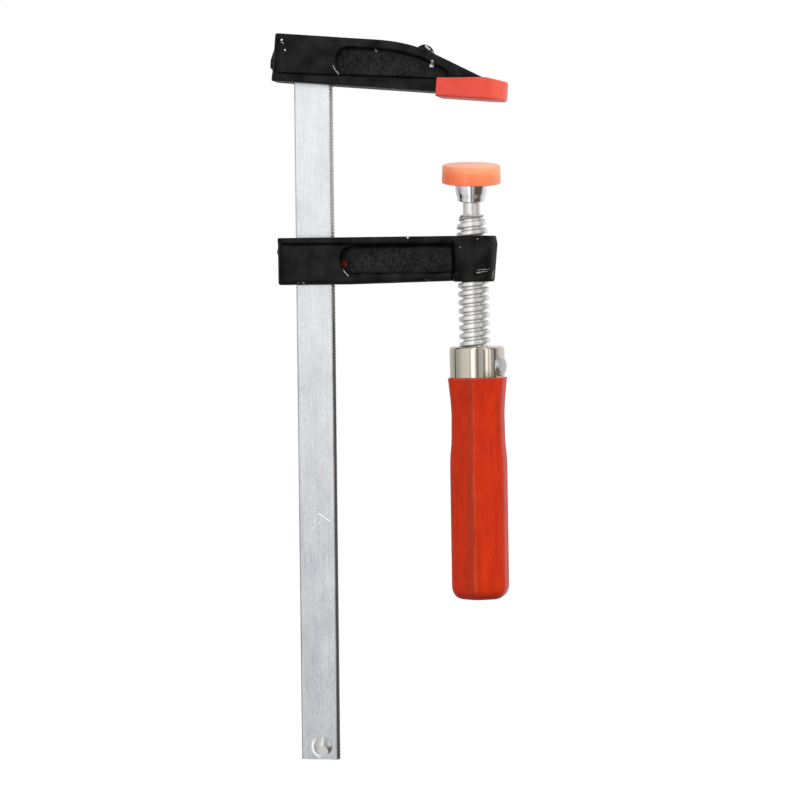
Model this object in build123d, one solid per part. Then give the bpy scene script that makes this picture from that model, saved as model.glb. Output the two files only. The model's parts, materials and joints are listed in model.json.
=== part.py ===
from build123d import *
import math
import os

# Light bar clamp, upright, in millimetres. +Z runs up the bar to the fixed jaw, +X from the bar to the
# screw. The origin is on the clamping face of the fixed jaw's cap, above the middle of the screw's boss.

# Bar and its stop
THROAT = 50.5
BAR_WIDTH = 13.6
BAR_THICKNESS = 5.0
BAR_BELOW_FACE = 236.2
BAR_EDGE_RADIUS = 0.4
BAR_SINK = 0.4
STOP_FROM_END = 4.7
STOP_OFFSET = 1.1
STOP_SHANK_RADIUS = 1.7
STOP_HEAD_RADIUS = 3.3
STOP_HEAD_HEIGHT = 1.5

# Fixed jaw casting, leaning so that the jaws come parallel under load
JAW_LEAN = 5.0
JAW_HEIGHT = 17.1
JAW_THICKNESS = 12.4
JAW_REAR_WALL = 8.0
JAW_TIP_REACH = 10.7
JAW_TIP_HEIGHT = 3.6
JAW_SLOPE = 21.8
JAW_SHOULDER_RADIUS = 55.0
JAW_FLANGE_HEIGHT = 3.0
JAW_FLANGE_THICKNESS = 13.8
JAW_TIP_CORNER = 5.0
JAW_SILL = 0.6
JAW_SILL_RISE = 1.0
JAW_RIM = 3.0
JAW_RECESS_FROM_BAR = 1.2
JAW_RECESS_END_RADIUS = 2.2
JAW_GATE_HEIGHT = 9.0
JAW_GATE_PROUD = 1.3
JAW_GATE_ABOVE_FLANGE = 0.6
NIB_RADIUS = 3.2
NIB_WIDTH = 4.0
NIB_FROM_SHOULDER = 4.8
NIB_DROP = 0.3

# What both castings share
RECESS_DEPTH = 3.0
RECESS_DRAFT = 18.0
CAST_CORNER = 2.4
CAST_EDGE = 0.8
FLANGE_EDGE = 0.5
GATE_WIDTH = 6.0
GATE_TAPER = 0.55
PRESS_CLEARANCE = 0.05

# Soft cap slipped over the fixed jaw's tip
CAP_FLOOR = 1.5
CAP_WALL = 1.4
CAP_HEIGHT = 7.8
CAP_BACK_DROP = 1.3
CAP_TIP_DROP = 1.0
CAP_REACH_BACK = 12.2
CAP_PEAK_FROM_TIP = 7.2
CAP_EDGE = 0.8

# Sliding arm casting
ARM_TOP = -48.2
ARM_HEIGHT = 16.95
ARM_RISE = 1.05
ARM_RISE_FROM_BAR = 6.5
ARM_THICKNESS = 12.4
ARM_REAR_WALL = 5.8
ARM_FLANGE_HEIGHT = 2.3
ARM_FLANGE_THICKNESS = 13.8
ARM_RIM = 3.6
ARM_SILL = 0.7
ARM_RECESS_FROM_BAR = 3.2
ARM_GATE_HEIGHT = 3.6
ARM_GATE_PROUD = 0.6
ARM_GATE_BELOW_FLANGE = 0.4
BOSS_RADIUS = 8.6
BOSS_TOP_RADIUS = 8.0
BOSS_FOOT_RADIUS = 7.4
BOSS_BULGE_DEPTH = 3.0
SLIDE_CLEARANCE = 0.3
BORE_CLEARANCE = 0.1

# Screw spindle with a coarse trapezoidal thread, right-handed, leaning a little on its bar as the arm hangs
SCREW_LEAN = 0.9
SCREW_LEAN_HEIGHT = -78.0
THREAD_RADIUS = 5.5
ROOT_RADIUS = 4.1
THREAD_PITCH = 3.0
THREAD_CREST = 1.25
THREAD_FLANK = 15.0
THREAD_ROOT_SINK = 0.4
THREAD_TOP = -40.7
THREAD_LEAD_IN = 1.4
THREAD_START_ANGLE = -29.0
NECK_RADIUS = 3.1
TANG_LENGTH = 40.0

# Ball and swivel pad, resting tilted on the ball
BALL_HEIGHT = -32.2
BALL_RADIUS = 4.4
SOCKET_CLEARANCE = 0.1
SOCKET_LIP = 2.0
PAD_TILT = 9.2
PAD_TILT_TURN = 19.5
CUP_RADIUS = 5.7
CUP_MOUTH_RADIUS = 4.95
CUP_DEPTH = 3.9
CUP_TAPER_HEIGHT = 2.0
CUP_LIP_WALL = 0.5
PLATE_RADIUS = 9.0
PLATE_THICKNESS = 2.65
PLATE_ROOF = 2.6
PAD_RADIUS = 10.3
PAD_FOOT_RADIUS = 10.5
PAD_FACE = 2.0
PAD_LIP = 1.7
PAD_LIP_REACH = 2.0
PAD_EDGE = 0.5

# Ferrule, wooden handle and the rivet through both and the spindle's tang
FERRULE_TOP = -87.8
FERRULE_LENGTH = 10.9
FERRULE_RADIUS = 9.9
FERRULE_WALL = 0.9
FERRULE_SHOULDER = 1.8
FERRULE_HOLE_CLEARANCE = 0.2
HANDLE_LENGTH = 78.9
HANDLE_SIDES = 6
HANDLE_FLAT = 9.9
HANDLE_CORNER_RADIUS = 2.5
HANDLE_END_RADIUS = 5.2
HANDLE_RIDGE_ANGLE = -94.0
HANDLE_TOP_SCALE = 0.995
SHOULDER_DEPTH = 7.2
SHOULDER_SCALE = 0.921
WAIST_DEPTH = 14.0
WAIST_SCALE = 0.892
SWELL_DEPTH = 22.0
SWELL_SCALE = 0.906
GRIP_DEPTH = 31.0
GRIP_SCALE = 0.963
RIVET_BELOW_TOP = 6.8
RIVET_ANGLE = -24.0
RIVET_SHANK_RADIUS = 2.0
RIVET_HEAD_RADIUS = 3.6
RIVET_HEAD_HEIGHT = 1.3
RIVET_SEAT = 9.55
RIVET_HOLE_CLEARANCE = 0.05

# Places worked out from the sizes above
BAR_INNER = -THROAT
BAR_OUTER = BAR_INNER - BAR_WIDTH
BAR_CENTRE = (BAR_INNER + BAR_OUTER) / 2
JAW_TOP = CAP_FLOOR + JAW_HEIGHT
JAW_REAR = BAR_OUTER - JAW_REAR_WALL
JAW_SHOULDER = JAW_TIP_REACH - (JAW_HEIGHT - JAW_TIP_HEIGHT) / math.tan(math.radians(JAW_SLOPE))
ARM_REAR = BAR_OUTER - SLIDE_CLEARANCE - ARM_REAR_WALL
ARM_BOTTOM = ARM_TOP - ARM_HEIGHT
BOSS_BOTTOM = ARM_BOTTOM + ARM_RISE / 2
BORE_RADIUS = THREAD_RADIUS + BORE_CLEARANCE
SOCKET_RADIUS = BALL_RADIUS + SOCKET_CLEARANCE
NECK_TOP = BALL_HEIGHT - math.sqrt(BALL_RADIUS**2 - NECK_RADIUS**2)
PLATE_TOP = SOCKET_RADIUS + PLATE_ROOF
PLATE_BOTTOM = PLATE_TOP - PLATE_THICKNESS
FERRULE_BOTTOM = FERRULE_TOP - FERRULE_LENGTH
TENON_TOP = FERRULE_TOP - FERRULE_WALL
TENON_RADIUS = FERRULE_RADIUS - FERRULE_WALL
HANDLE_BOTTOM = FERRULE_BOTTOM - HANDLE_LENGTH
TANG_BOTTOM = TENON_TOP - TANG_LENGTH
RIVET_HEIGHT = FERRULE_TOP - RIVET_BELOW_TOP

LEAN = Rot(0, JAW_LEAN, 0)
SCREW = Pos(0, 0, SCREW_LEAN_HEIGHT) * Rot(0, -SCREW_LEAN, 0) * Pos(0, 0, -SCREW_LEAN_HEIGHT)
TILT = SCREW * Pos(0, 0, BALL_HEIGHT) * Rot(0, 0, PAD_TILT_TURN) * Rot(PAD_TILT, 0, 0)


def turned(*lines):
    """Solid of revolution about Z from a closed outline of (radius, height) points and arcs."""
    return revolve(Plane.XZ * make_face(lines), Axis.Z)


def side_prism(outline, thickness):
    """Prism between two upright faces, from an outline of (x, z) points, centred on Y = 0."""
    return extrude(Plane.XZ * make_face(outline), thickness / 2, both=True)


def side_pockets(outline, thickness):
    """Pair of drafted pockets, sunk from both sides of a casting of the given thickness."""
    front = Plane.XZ.offset(thickness / 2) * make_face(outline)
    pocket = extrude(front, -RECESS_DEPTH, taper=RECESS_DRAFT)
    return pocket + mirror(pocket, Plane.XZ)


def plate_between(low_x, high_x, thickness, bottom, top, corners):
    """Flat bar along X with its own corner radii in plan, at the low and the high end."""
    half = thickness / 2
    low_corner, high_corner = corners
    points = [(low_x, -half), (high_x, -half), (high_x, half), (low_x, half)]
    radii = [low_corner, high_corner, high_corner, low_corner]
    plan = make_face(FilletPolyline(*points, radius=radii, close=True))
    return extrude(Pos(0, 0, bottom) * plan, top - bottom)


def gate_stub(rear, proud, bottom, height):
    """Ground-down stub on a casting's rear face, left where the metal ran in, tapering out at its top."""
    outline = Polyline(
        (rear + proud, bottom),
        (rear, bottom),
        (rear - proud, bottom + proud),
        (rear - proud, bottom + height * (1 - GATE_TAPER)),
        (rear, bottom + height),
        (rear + proud, bottom + height),
        close=True,
    )
    return side_prism(outline, GATE_WIDTH)


def bar_slot(clearance):
    """Upright opening that a casting has for the bar."""
    height = 2 * BAR_BELOW_FACE
    return Pos(BAR_CENTRE, 0, 0) * Box(BAR_WIDTH + 2 * clearance, BAR_THICKNESS + 2 * clearance, height)


def rivet(grip, shank_radius, head_radius, head_height):
    """Rivet along Z, centred on its grip, with a dome closed down at each end."""
    half = grip / 2
    dome = TangentArc((0, half + head_height), (head_radius, half), tangent=(1, 0))
    side = Polyline(
        (head_radius, half),
        (shank_radius, half),
        (shank_radius, -half),
        (head_radius, -half),
    )
    foot = TangentArc((0, -half - head_height), (head_radius, -half), tangent=(1, 0))
    axis = Line((0, -half - head_height), (0, half + head_height))
    return turned(dome, side, foot, axis)


def rail_bar():
    """Flat steel bar, from inside the fixed jaw down past the stop."""
    lean = math.radians(JAW_LEAN)
    surface = (JAW_TOP - BAR_INNER * math.sin(lean)) / math.cos(lean)
    top = surface - BAR_SINK
    length = top + BAR_BELOW_FACE
    bar = Pos(BAR_CENTRE, 0, top - length / 2) * Box(BAR_WIDTH, BAR_THICKNESS, length)
    bar = fillet(bar.edges().filter_by(Axis.Z), BAR_EDGE_RADIUS)
    hole = Rot(90, 0, 0) * Cylinder(STOP_SHANK_RADIUS, 2 * BAR_THICKNESS)
    return bar - stop_place() * hole


def stop_place():
    """Centre of the stop, near the bar's lower end."""
    return Pos(BAR_CENTRE + STOP_OFFSET, 0, STOP_FROM_END - BAR_BELOW_FACE)


def stop_rivet():
    """Domed stop that keeps the arm on the bar."""
    stop = rivet(BAR_THICKNESS, STOP_SHANK_RADIUS, STOP_HEAD_RADIUS, STOP_HEAD_HEIGHT)
    return stop_place() * Rot(90, 0, 0) * stop


def jaw_flange(growth):
    """Clamping flange of the fixed jaw, before it leans, grown all round by a clearance."""
    return plate_between(
        JAW_REAR - growth,
        JAW_TIP_REACH + growth,
        JAW_FLANGE_THICKNESS + 2 * growth,
        CAP_FLOOR - growth,
        CAP_FLOOR + JAW_FLANGE_HEIGHT + growth,
        (CAST_CORNER + growth, JAW_TIP_CORNER + growth),
    )


def jaw_plan(growth, height):
    """Upright block with the fixed jaw's plan above its flange, grown all round by a clearance."""
    return plate_between(
        JAW_REAR - growth,
        JAW_TIP_REACH + growth,
        JAW_THICKNESS + 2 * growth,
        CAP_FLOOR,
        CAP_FLOOR + height,
        (CAST_CORNER, JAW_TIP_CORNER),
    )


def jaw_web():
    """Solid side shape of the fixed jaw above its flange."""
    outline = FilletPolyline(
        (JAW_REAR, CAP_FLOOR),
        (JAW_TIP_REACH, CAP_FLOOR),
        (JAW_TIP_REACH, CAP_FLOOR + JAW_TIP_HEIGHT),
        (JAW_SHOULDER, JAW_TOP),
        (JAW_REAR, JAW_TOP),
        radius=[0, 0, 0, JAW_SHOULDER_RADIUS, CAST_EDGE],
        close=True,
    )
    return side_prism(outline, JAW_THICKNESS) & jaw_plan(0, JAW_HEIGHT)


def jaw_recess():
    """Wing-shaped hollows in the fixed jaw's sides, following its top edge."""
    low = CAP_FLOOR + JAW_FLANGE_HEIGHT + JAW_SILL
    high = JAW_TOP - JAW_RIM
    slope = math.radians(JAW_SLOPE)
    start = BAR_INNER + JAW_RECESS_FROM_BAR
    shoulder = JAW_SHOULDER - JAW_RIM * math.tan(slope / 2)
    point = shoulder + (high - low - JAW_SILL_RISE) / math.tan(slope)
    round_end = (high - low - JAW_SILL_RISE) / 2 - PRESS_CLEARANCE
    outline = FilletPolyline(
        (start, low),
        (point, low + JAW_SILL_RISE),
        (shoulder, high),
        (start, high),
        radius=[round_end, JAW_RECESS_END_RADIUS, JAW_SHOULDER_RADIUS - JAW_RIM, round_end],
        close=True,
    )
    return side_pockets(outline, JAW_THICKNESS)


def fixed_jaw():
    """Cast jaw pressed on the top of the bar."""
    flange = jaw_flange(0)
    flange = chamfer(flange.faces().sort_by(Axis.Z)[-1].edges(), FLANGE_EDGE)
    gate_bottom = CAP_FLOOR + JAW_FLANGE_HEIGHT + JAW_GATE_ABOVE_FLANGE
    gate = gate_stub(JAW_REAR, JAW_GATE_PROUD, gate_bottom, JAW_GATE_HEIGHT)
    nib_place = Pos(JAW_SHOULDER + NIB_FROM_SHOULDER, 0, JAW_TOP - NIB_DROP - NIB_RADIUS)
    nib = nib_place * Rot(90, 0, 0) * Cylinder(NIB_RADIUS, NIB_WIDTH)
    jaw = jaw_web() - jaw_recess() + flange + gate + nib
    return LEAN * jaw - bar_slot(PRESS_CLEARANCE)


def fixed_jaw_cap():
    """Soft channel over the jaw's tip, closed at the end and hooked over the flange."""
    skirt = CAP_WALL + PRESS_CLEARANCE
    tip = JAW_TIP_REACH + skirt
    outer = plate_between(
        -CAP_REACH_BACK,
        tip,
        JAW_FLANGE_THICKNESS + 2 * skirt,
        0,
        CAP_HEIGHT,
        (0, JAW_TIP_CORNER + skirt),
    )
    outer = fillet(outer.faces().sort_by(Axis.Z)[0].edges().sort_by(Axis.X)[1:], CAP_EDGE)
    side = Polyline(
        (-CAP_REACH_BACK, 0),
        (tip, 0),
        (tip, CAP_HEIGHT - CAP_TIP_DROP),
        (tip - CAP_PEAK_FROM_TIP, CAP_HEIGHT),
        (-CAP_REACH_BACK, CAP_HEIGHT - CAP_BACK_DROP),
        close=True,
    )
    outer = outer & side_prism(side, 2 * JAW_FLANGE_THICKNESS)
    return LEAN * (outer - jaw_flange(PRESS_CLEARANCE) - jaw_plan(PRESS_CLEARANCE, CAP_HEIGHT))


def arm_recess():
    """Hollows in the arm's sides, from beside the bar to the boss."""
    low = ARM_BOTTOM + ARM_RIM
    high = ARM_TOP - ARM_FLANGE_HEIGHT - ARM_SILL
    start = BAR_INNER + ARM_RECESS_FROM_BAR
    round_end = (high - low) / 2 - PRESS_CLEARANCE
    outline = FilletPolyline(
        (start, low),
        (0, low),
        (0, high),
        (start, high),
        radius=[round_end, 0, 0, round_end],
        close=True,
    )
    return side_pockets(outline, ARM_THICKNESS)


def sliding_arm():
    """Cast arm that slides on the bar and holds the spindle in its boss."""
    outline = FilletPolyline(
        (ARM_REAR, ARM_BOTTOM),
        (BAR_INNER + ARM_RISE_FROM_BAR, ARM_BOTTOM),
        (0, ARM_BOTTOM + ARM_RISE),
        (0, ARM_TOP),
        (ARM_REAR, ARM_TOP),
        radius=[CAST_EDGE, 0, 0, 0, 0],
        close=True,
    )
    web = side_prism(outline, ARM_THICKNESS)
    web = fillet(web.edges().filter_by(Axis.Z).group_by(Axis.X)[0], CAST_CORNER)
    flange_bottom = ARM_TOP - ARM_FLANGE_HEIGHT
    corners = (CAST_CORNER, 0)
    flange = plate_between(ARM_REAR, 0, ARM_FLANGE_THICKNESS, flange_bottom, ARM_TOP, corners)
    flange = chamfer(flange.faces().sort_by(Axis.Z)[0].edges().sort_by(Axis.X)[:-1], FLANGE_EDGE)
    gate_bottom = flange_bottom - ARM_GATE_BELOW_FLANGE - ARM_GATE_HEIGHT
    gate = gate_stub(ARM_REAR, ARM_GATE_PROUD, gate_bottom, ARM_GATE_HEIGHT)
    boss = turned(
        FilletPolyline(
            (0, BOSS_BOTTOM),
            (BOSS_FOOT_RADIUS, BOSS_BOTTOM),
            (BOSS_RADIUS, ARM_TOP - BOSS_BULGE_DEPTH),
            (BOSS_TOP_RADIUS, ARM_TOP),
            (0, ARM_TOP),
            radius=[0, CAST_EDGE, CAST_CORNER, FLANGE_EDGE, 0],
            close=True,
        )
    )
    bore = SCREW * Pos(0, 0, (ARM_TOP + ARM_BOTTOM) / 2) * Cylinder(BORE_RADIUS, 2 * ARM_HEIGHT)
    return web - arm_recess() + flange + gate + boss - bore - bar_slot(SLIDE_CLEARANCE)


def thread_ridge():
    """Helical ridge with sloping flanks, cut square below and to a lead-in cone above."""
    flank = (THREAD_RADIUS - ROOT_RADIUS + THREAD_ROOT_SINK) * math.tan(math.radians(THREAD_FLANK))
    inner = ROOT_RADIUS - THREAD_ROOT_SINK
    crest = THREAD_CREST / 2
    start = TENON_TOP - THREAD_PITCH
    height = THREAD_TOP - TENON_TOP + 2 * THREAD_PITCH
    section = Polyline(
        (inner, -crest - flank),
        (THREAD_RADIUS, -crest),
        (THREAD_RADIUS, crest),
        (inner, crest + flank),
        close=True,
    )
    path = Helix(THREAD_PITCH, height, inner)
    ridge = sweep(Plane.XZ * make_face(section), path, is_frenet=True)
    ridge = Pos(0, 0, start) * Rot(0, 0, THREAD_START_ANGLE) * ridge
    envelope = turned(
        Polyline(
            (0, TENON_TOP),
            (2 * THREAD_RADIUS, TENON_TOP),
            (2 * THREAD_RADIUS, THREAD_TOP - THREAD_LEAD_IN - THREAD_RADIUS),
            (ROOT_RADIUS, THREAD_TOP),
            (0, THREAD_TOP),
            close=True,
        )
    )
    return ridge & envelope


def spindle():
    """Screw with a tang below for the handle and a neck above for the ball."""
    core = turned(
        Polyline(
            (0, TANG_BOTTOM),
            (ROOT_RADIUS, TANG_BOTTOM),
            (ROOT_RADIUS, THREAD_TOP),
            (NECK_RADIUS, THREAD_TOP),
            (NECK_RADIUS, NECK_TOP),
            (0, NECK_TOP),
            close=True,
        )
    )
    return SCREW * (core + thread_ridge() - rivet_hole())


def spindle_ball():
    """Ball on the end of the neck, flat where it meets the neck."""
    below = math.degrees(math.acos(NECK_RADIUS / BALL_RADIUS))
    arc = CenterArc((0, BALL_HEIGHT), BALL_RADIUS, -below, 90 + below)
    flat = Polyline((0, BALL_HEIGHT + BALL_RADIUS), (0, NECK_TOP), (NECK_RADIUS, NECK_TOP))
    return SCREW * turned(arc, flat)


def swivel_plate():
    """Pressure plate with its cup rolled in under the ball, drawn about the ball's centre."""
    lip_radius = math.sqrt(SOCKET_RADIUS**2 - SOCKET_LIP**2)
    below = math.degrees(math.asin(SOCKET_LIP / SOCKET_RADIUS))
    socket = CenterArc((0, 0), SOCKET_RADIUS, -below, 90 + below)
    outside = Polyline(
        (lip_radius, -SOCKET_LIP),
        (CUP_MOUTH_RADIUS - CUP_LIP_WALL, -CUP_DEPTH),
        (CUP_MOUTH_RADIUS, -CUP_DEPTH),
        (CUP_RADIUS, CUP_TAPER_HEIGHT - CUP_DEPTH),
        (CUP_RADIUS, PLATE_BOTTOM),
        (PLATE_RADIUS, PLATE_BOTTOM),
        (PLATE_RADIUS, PLATE_TOP),
        (0, PLATE_TOP),
        (0, SOCKET_RADIUS),
    )
    return TILT * turned(socket, outside)


def swivel_cap():
    """Soft cap snapped over the pressure plate, drawn about the ball's centre."""
    seat_radius = PLATE_RADIUS + PRESS_CLEARANCE
    seat_top = PLATE_TOP + PRESS_CLEARANCE
    seat_bottom = PLATE_BOTTOM - PRESS_CLEARANCE
    foot = seat_bottom - PAD_LIP
    lip_radius = PLATE_RADIUS - PAD_LIP_REACH
    outline = FilletPolyline(
        (0, seat_top),
        (seat_radius, seat_top),
        (seat_radius, seat_bottom),
        (lip_radius, seat_bottom),
        (lip_radius, foot),
        (PAD_FOOT_RADIUS, foot),
        (PAD_RADIUS, seat_top + PAD_FACE),
        (0, seat_top + PAD_FACE),
        radius=[0, 0, 0, 0, 0, PAD_EDGE, PAD_EDGE, 0],
        close=True,
    )
    return TILT * turned(outline)


def rivet_place():
    """Centre of the handle's rivet, with Z along it."""
    return Pos(0, 0, RIVET_HEIGHT) * Rot(0, 0, RIVET_ANGLE) * Rot(0, 90, 0)


def rivet_hole():
    """Cross hole for the handle's rivet."""
    return rivet_place() * Cylinder(RIVET_SHANK_RADIUS + RIVET_HOLE_CLEARANCE, 4 * FERRULE_RADIUS)


def handle_rivet():
    """Rivet through the ferrule, the handle's tenon and the tang."""
    pin = rivet(2 * RIVET_SEAT, RIVET_SHANK_RADIUS, RIVET_HEAD_RADIUS, RIVET_HEAD_HEIGHT)
    return SCREW * rivet_place() * pin


def ferrule():
    """Drawn metal cap over the handle's tenon, dented flat under the rivet's heads."""
    inner = TENON_RADIUS + PRESS_CLEARANCE
    hole = THREAD_RADIUS + FERRULE_HOLE_CLEARANCE
    ceiling = TENON_TOP + PRESS_CLEARANCE
    shell = turned(
        FilletPolyline(
            (hole, FERRULE_TOP),
            (FERRULE_RADIUS, FERRULE_TOP),
            (FERRULE_RADIUS, FERRULE_BOTTOM),
            (inner, FERRULE_BOTTOM),
            (inner, ceiling),
            (hole, ceiling),
            radius=[0, FERRULE_SHOULDER, 0, 0, FERRULE_SHOULDER - FERRULE_WALL, 0],
            close=True,
        )
    )
    dent = Pos(0, 0, RIVET_SEAT + FERRULE_RADIUS / 2) * Cylinder(FERRULE_RADIUS, FERRULE_RADIUS)
    dents = rivet_place() * (dent + mirror(dent, Plane.XY))
    return SCREW * (shell - dents - rivet_hole())


def handle_section(scale, height):
    """Rounded six-sided section of the handle at one height."""
    flat = HANDLE_FLAT * scale
    hexagon = RegularPolygon(flat, HANDLE_SIDES, major_radius=False, rotation=HANDLE_RIDGE_ANGLE)
    return Pos(0, 0, height) * fillet(hexagon.vertices(), HANDLE_CORNER_RADIUS * scale)


def handle():
    """Turned wooden handle with soft flats, a waist under the ferrule and a tenon inside it."""
    stations = [
        (HANDLE_TOP_SCALE, 0),
        (SHOULDER_SCALE, SHOULDER_DEPTH),
        (WAIST_SCALE, WAIST_DEPTH),
        (SWELL_SCALE, SWELL_DEPTH),
        (GRIP_SCALE, GRIP_DEPTH),
    ]
    waist = loft([handle_section(scale, FERRULE_BOTTOM - depth) for scale, depth in stations])
    grip = extrude(handle_section(GRIP_SCALE, HANDLE_BOTTOM), HANDLE_LENGTH - GRIP_DEPTH)
    reach = HANDLE_FLAT / math.cos(math.pi / HANDLE_SIDES)
    envelope = turned(
        FilletPolyline(
            (0, HANDLE_BOTTOM),
            (reach, HANDLE_BOTTOM),
            (reach, FERRULE_BOTTOM),
            (0, FERRULE_BOTTOM),
            radius=[0, HANDLE_END_RADIUS, 0, 0],
            close=True,
        )
    )
    tenon = turned(
        FilletPolyline(
            (0, FERRULE_BOTTOM),
            (TENON_RADIUS, FERRULE_BOTTOM),
            (TENON_RADIUS, TENON_TOP),
            (0, TENON_TOP),
            radius=[0, 0, FERRULE_SHOULDER - FERRULE_WALL, 0],
            close=True,
        )
    )
    socket_centre = (TENON_TOP + TANG_BOTTOM) / 2
    socket = Pos(0, 0, socket_centre) * Cylinder(ROOT_RADIUS + PRESS_CLEARANCE, TANG_LENGTH)
    return SCREW * (waist + (grip & envelope) + tenon - socket - rivet_hole())


PIECES = [
    rail_bar,
    stop_rivet,
    fixed_jaw,
    fixed_jaw_cap,
    sliding_arm,
    spindle,
    spindle_ball,
    swivel_plate,
    swivel_cap,
    ferrule,
    handle,
    handle_rivet,
]

os.makedirs("parts", exist_ok=True)
for piece in PIECES:
    export_step(piece(), f"parts/{piece.__name__}.step")
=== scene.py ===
import bmesh
import bpy
import json
import math
from mathutils import Matrix, Quaternion, Vector, noise


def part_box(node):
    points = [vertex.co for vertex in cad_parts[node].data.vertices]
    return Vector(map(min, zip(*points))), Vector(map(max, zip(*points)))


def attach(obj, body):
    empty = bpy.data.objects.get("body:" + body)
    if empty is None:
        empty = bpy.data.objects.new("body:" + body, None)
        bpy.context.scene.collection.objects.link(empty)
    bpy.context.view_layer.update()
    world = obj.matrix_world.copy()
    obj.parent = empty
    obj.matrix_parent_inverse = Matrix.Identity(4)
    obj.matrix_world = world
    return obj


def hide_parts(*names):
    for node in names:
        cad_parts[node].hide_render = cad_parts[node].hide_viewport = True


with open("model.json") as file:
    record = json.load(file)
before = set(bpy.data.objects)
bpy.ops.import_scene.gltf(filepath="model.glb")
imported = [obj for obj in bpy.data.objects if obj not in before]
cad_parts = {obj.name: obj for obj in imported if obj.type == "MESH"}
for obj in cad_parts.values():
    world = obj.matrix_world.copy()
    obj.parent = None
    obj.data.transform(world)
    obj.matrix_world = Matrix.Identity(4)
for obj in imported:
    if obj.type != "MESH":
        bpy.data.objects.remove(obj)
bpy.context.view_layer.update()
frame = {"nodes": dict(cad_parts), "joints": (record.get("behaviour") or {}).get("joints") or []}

# Studio. The clamp is photographed from about a metre off, a little above its middle and to the screw's
# side, inside a white light tent whose front seams and lens gap show dark in bright metal.
MM = 0.001
VIEW_CENTRE = Vector((-27.1, 0.0, -106.6)) * MM
VIEW_DISTANCE = 1.0
VIEW_AZIMUTH = math.radians(9.0)
VIEW_ELEVATION = math.radians(2.5)
VIEW_ROLL = math.radians(-0.6)
VIEW_WIDTH = 286.4 * MM
SENSOR_WIDTH = 36.0
LAMP_WIDTH = 1.2
FLOOR_REACH = 6.0
FLOOR_GAP = 5.0 * MM
FLOOR_WHITE = (0.96, 0.96, 0.96, 1.0)
FLOOR_GLOW = 1.08
FLOOR_LIT = 0.8
SHELF_BROWN = (0.12, 0.085, 0.065, 1.0)
PAPER_WHITE = (1.0, 1.0, 1.0, 1.0)
# Brightness round the tent by shares of a turn: 0 is behind the clamp, 0.25 its left side, 0.5 the lens.
TENT_WALLS = [
    (0.0, 0.9), (0.1, 0.68), (0.17, 0.62), (0.25, 0.48), (0.303, 0.62), (0.331, 0.82), (0.41, 0.95),
    (0.445, 0.8), (0.455, 2.0), (0.486, 2.0), (0.493, 0.95), (0.507, 0.8), (0.516, 0.28), (0.529, 0.2),
    (0.539, 0.55), (0.587, 0.66), (0.597, 0.28), (0.61, 0.4), (0.621, 1.5), (0.646, 1.5), (0.657, 0.35),
    (0.667, 1.2), (0.685, 1.1), (0.696, 0.25), (0.71, 0.7), (0.722, 0.4), (0.74, 0.1), (0.79, 0.6),
    (0.85, 0.95),
]
SHELF_TURN = [(0.572, 0.0), (0.598, 1.0), (0.735, 1.0), (0.785, 0.0)]
# Brightness up the tent: 0 is straight below the clamp, 0.5 level with it, 1 straight above.
TENT_RISE = [(0.0, 0.3), (0.08, 0.6), (0.16, 0.8), (0.3, 0.9), (0.5, 0.95), (0.55, 1.0)]
SHELF_RISE = [(0.02, 0.3), (0.22, 1.0), (0.42, 1.0), (0.47, 0.0)]


class Shade:
    """One socket of a node tree: arithmetic on it adds Math nodes, and node() adds any other kind."""

    def __init__(self, tree, socket=None):
        self.tree = tree
        self.socket = socket

    def node(self, kind, settings, sockets, output=0):
        made = self.tree.nodes.new(kind)
        for name, value in settings.items():
            if name == "stops":
                ramp = made.color_ramp.elements
                while len(ramp) < len(value):
                    ramp.new(1.0)
                for stop, (position, colour) in zip(ramp, value):
                    stop.position = position
                    stop.color = colour
            else:
                setattr(made, name, value)
        for name, value in sockets.items():
            if isinstance(value, Shade):
                self.tree.links.new(value.socket, made.inputs[name])
            else:
                made.inputs[name].default_value = value
        return Shade(self.tree, made.outputs[output])

    def math(self, operation, first, second=0.0):
        return self.node("ShaderNodeMath", {"operation": operation}, {0: first, 1: second})

    def vector(self, operation, first, second=(0.0, 0.0, 0.0), output="Vector"):
        return self.node("ShaderNodeVectorMath", {"operation": operation}, {0: first, 1: second}, output)

    def mix(self, low, high):
        return self.node("ShaderNodeMix", {"data_type": "RGBA"}, {0: self, 6: low, 7: high}, 2)

    def ramp(self, *stops):
        levels = [(position, (level, level, level, 1.0)) for position, level in stops]
        return self.node("ShaderNodeValToRGB", {"stops": levels}, {"Fac": self})

    def __add__(self, other):
        return self.math("ADD", self, other)

    def __sub__(self, other):
        return self.math("SUBTRACT", self, other)

    def __rsub__(self, other):
        return self.math("SUBTRACT", other, self)

    def __mul__(self, other):
        return self.math("MULTIPLY", self, other)

    def __truediv__(self, other):
        return self.math("DIVIDE", self, other)

    def __lt__(self, other):
        return self.math("LESS_THAN", self, other)

    def __abs__(self):
        return self.math("ABSOLUTE", self)

    __radd__ = __add__
    __rmul__ = __mul__


def axis_of(where, axis):
    """One coordinate of a place or a direction."""
    return where.node("ShaderNodeSeparateXYZ", {}, {"Vector": where}, axis)


def ray_is(tree, kind):
    """One for rays of a kind, such as those straight from the lens, and nought for others."""
    return Shade(tree).node("ShaderNodeLightPath", {}, {}, f"Is {kind} Ray")


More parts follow.
